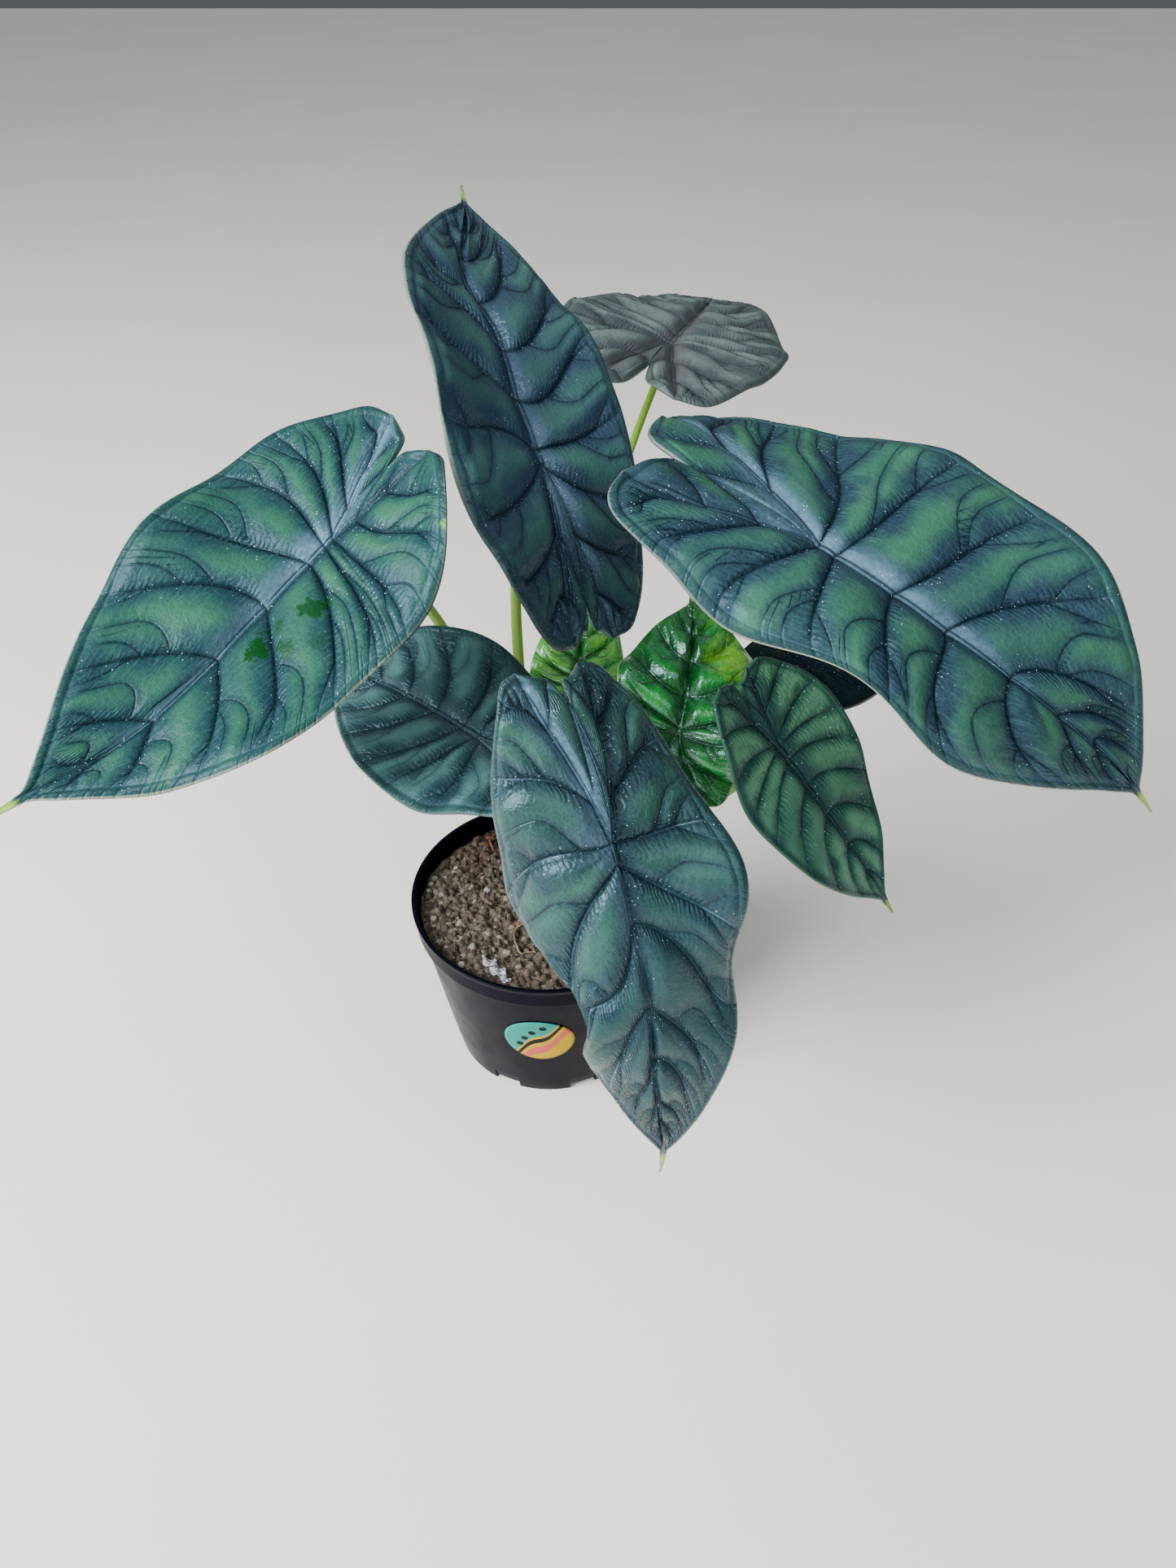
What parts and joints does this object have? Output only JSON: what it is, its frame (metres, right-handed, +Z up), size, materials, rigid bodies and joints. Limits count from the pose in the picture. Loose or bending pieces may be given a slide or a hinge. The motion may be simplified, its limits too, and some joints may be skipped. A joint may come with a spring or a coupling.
{
  "type": "potted dragon scale alocasia",
  "caption": "Dragon scale alocasia in a black nursery pot: dark, deeply veined arrow-shaped leaves on arching stalks that rise from a short crown in the soil.",
  "frame": {"origin": "middle of the pot's foot, on the plane that it stands on", "axes": "+Z up along the pot's axis; -Y is the side of the pot with the label, which faces the viewer; +X to the viewer's right"},
  "size_m": [0.5161, 0.6561, 0.4742],
  "materials": {
    "pot_plastic": "black injection-moulded polypropylene, satin, with a slightly glossier rim",
    "label_vinyl": null,
    "soil": null,
    "crown_bark": "short corky stem with leaf scars",
    "right_leaf": null,
    "left_leaf": null,
    "upper_leaf": null,
    "front_leaf": null,
    "small_right_leaf": null,
    "back_leaf": null,
    "lower_left_leaf": null,
    "dark_leaf": null,
    "bright_leaf": null,
    "bright_small_leaf": null,
    "leaf_stalk": null
  },
  "bodies": {
    "root": {"pot": "pot_plastic", "label": "label_vinyl", "soil": "soil", "crown": "crown_bark", "leaf_right_blade": "right_leaf", "leaf_right_stalk": "leaf_stalk", "leaf_left_blade": "left_leaf", "leaf_left_stalk": "leaf_stalk", "leaf_upper_blade": "upper_leaf", "leaf_upper_stalk": "leaf_stalk", "leaf_front_blade": "front_leaf", "leaf_front_stalk": "leaf_stalk", "leaf_small_right_blade": "small_right_leaf", "leaf_small_right_stalk": "leaf_stalk", "leaf_back_blade": "back_leaf", "leaf_back_stalk": "leaf_stalk", "leaf_lower_left_blade": "lower_left_leaf", "leaf_lower_left_stalk": "leaf_stalk", "leaf_dark_blade": "dark_leaf", "leaf_dark_stalk": "leaf_stalk", "leaf_bright_blade": "bright_leaf", "leaf_bright_stalk": "leaf_stalk", "leaf_bright_small_blade": "bright_small_leaf", "leaf_bright_small_stalk": "leaf_stalk"}
  },
  "joints": []
}
